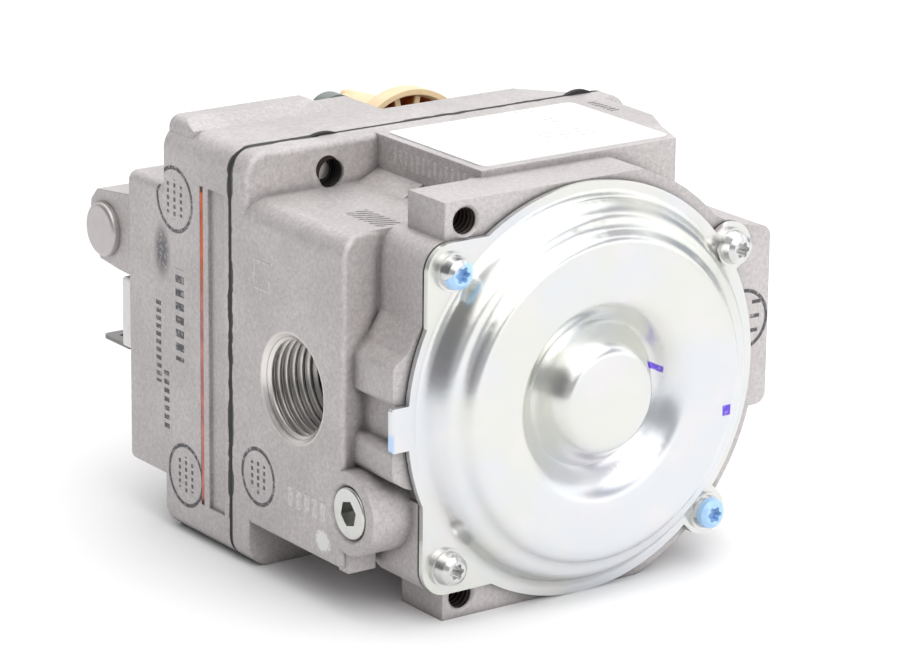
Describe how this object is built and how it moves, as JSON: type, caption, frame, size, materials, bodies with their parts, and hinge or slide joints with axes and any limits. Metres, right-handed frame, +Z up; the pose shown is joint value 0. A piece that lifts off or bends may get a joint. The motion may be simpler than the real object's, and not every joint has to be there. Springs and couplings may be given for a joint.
{
  "type": "gas valve",
  "caption": "Combination gas valve with threaded pipe ports, a pressed round diaphragm cover, a bolted control head with a push-and-turn dial, regulator tower and terminals.",
  "frame": {"origin": "centre of the box's underside, so the valve stands on z = 0", "axes": "+X along the pipe towards the inlet port, +Y out of the round diaphragm cover, +Z up through the label"},
  "size_m": [0.096, 0.1212, 0.0882],
  "materials": {
    "die_cast": "fine-grained die casting",
    "zinc_plate": "pressed steel, bright zinc plate",
    "steel": "zinc plated",
    "dark_steel": "dark plated",
    "white_plastic": "moulded",
    "spring_steel": "bright wire",
    "stainless": "plain",
    "brass": "machined",
    "black_rubber": "matt",
    "red_fibre": "fibre sheet",
    "ivory_plastic": "satin",
    "dark_plastic": "moulded",
    "tinned_brass": "tin plated",
    "grey_cap": "turned",
    "copper_wire": "enamelled wire",
    "label_film": "blank label"
  },
  "bodies": {
    "frame": {"valve_body": "die_cast", "control_housing": "die_cast", "operator_cover": "die_cast", "diaphragm_cover": "zinc_plate", "cover_screws": "steel", "head_screws": "steel", "filter_cap": "steel", "terminal_screws": "steel", "inlet_tap_plug": "steel", "outlet_tap_plug": "steel", "pilot_cap": "dark_steel", "terminal_board": "white_plastic", "main_valve_spring": "spring_steel", "dial_return_spring": "spring_steel", "safety_spring": "spring_steel", "regulator_spring": "spring_steel", "plunger_spring": "spring_steel", "inlet_screen": "stainless", "magnet_unit": "stainless", "main_valve_seat": "brass", "pilot_fitting": "brass", "safety_seat": "brass", "filter_plug": "brass", "body_gasket": "black_rubber", "main_diaphragm": "black_rubber", "regulator_diaphragm": "black_rubber", "operator_gasket": "red_fibre", "coil_bobbin": "dark_plastic", "spade_terminals": "tinned_brass", "regulator_cap": "grey_cap", "operator_coil": "copper_wire", "label_plate": "label_film"},
    "main_valve": {"main_valve_stem": "brass", "main_valve_seal": "black_rubber", "diaphragm_plate": "steel"},
    "push_carrier": {"thrust_washer": "steel"},
    "dial": {"gas_dial": "ivory_plastic", "dial_shaft": "steel"},
    "cock": {"cock_plug": "brass"},
    "safety_valve": {"safety_disc": "steel"},
    "regulator_seat": {"regulator_spring_seat": "dark_plastic"},
    "regulator_adjuster": {"regulator_screw": "dark_plastic"},
    "regulator_poppet": {"regulator_valve": "brass"},
    "plunger": {"operator_plunger": "steel"},
    "pilot_adjuster": {"pilot_screw": "steel"}
  },
  "joints": [
    {"name": "main_valve_lift", "type": "slide", "parent": "frame", "child": "main_valve", "axis": [0, -1, 0], "range_m": [0, 0.003], "stiffness_N_per_m": 900, "springref_m": -0.002, "deforming": ["main_valve_spring", "main_diaphragm"]},
    {"name": "dial_push", "type": "slide", "parent": "frame", "child": "push_carrier", "axis": [0, 1, 0], "range_m": [0, 0.004], "stiffness_N_per_m": 900, "springref_m": -0.003, "deforming": ["dial_return_spring"]},
    {"name": "dial_turn", "type": "hinge", "parent": "push_carrier", "child": "dial", "pos_m": [-0.0163, -0.04, 0.0687], "axis": [0, -1, 0], "range_deg": [0, 180]},
    {"name": "cock_turn", "type": "hinge", "parent": "frame", "child": "cock", "pos_m": [-0.0163, -0.008, 0.0687], "axis": [0, -1, 0], "range_deg": [0, 180]},
    {"name": "safety_lift", "type": "slide", "parent": "frame", "child": "safety_valve", "axis": [0, 1, 0], "range_m": [0, 0.004], "deforming": ["safety_spring"]},
    {"name": "regulator_seat_slide", "type": "slide", "parent": "frame", "child": "regulator_seat", "axis": [0, 1, 0], "range_m": [-0.001, 0.003], "deforming": ["regulator_spring"]},
    {"name": "regulator_screw_turn", "type": "hinge", "parent": "regulator_seat", "child": "regulator_adjuster", "pos_m": [-0.027, -0.036, 0.0295], "axis": [0, 1, 0], "range_deg": [-360, 1080]},
    {"name": "regulator_poppet_lift", "type": "slide", "parent": "frame", "child": "regulator_poppet", "axis": [0, -1, 0], "range_m": [0, 0.0012], "stiffness_N_per_m": 400, "springref_m": -0.002, "deforming": ["regulator_diaphragm"]},
    {"name": "plunger_lift", "type": "slide", "parent": "frame", "child": "plunger", "axis": [0, -1, 0], "range_m": [0, 0.0015], "stiffness_N_per_m": 150, "springref_m": -0.002, "deforming": ["plunger_spring"]},
    {"name": "pilot_screw_turn", "type": "hinge", "parent": "frame", "child": "pilot_adjuster", "pos_m": [0.003, -0.03, 0.0807], "axis": [0, 1, 0], "range_deg": [-720, 180]}
  ],
  "couplings": [
    {"joint": "cock_turn", "follows": "dial_turn", "ratio": 1},
    {"joint": "safety_lift", "follows": "dial_push", "ratio": 1},
    {"joint": "regulator_seat_slide", "follows": "regulator_screw_turn", "m_per_rad": 0.00015915}
  ]
}
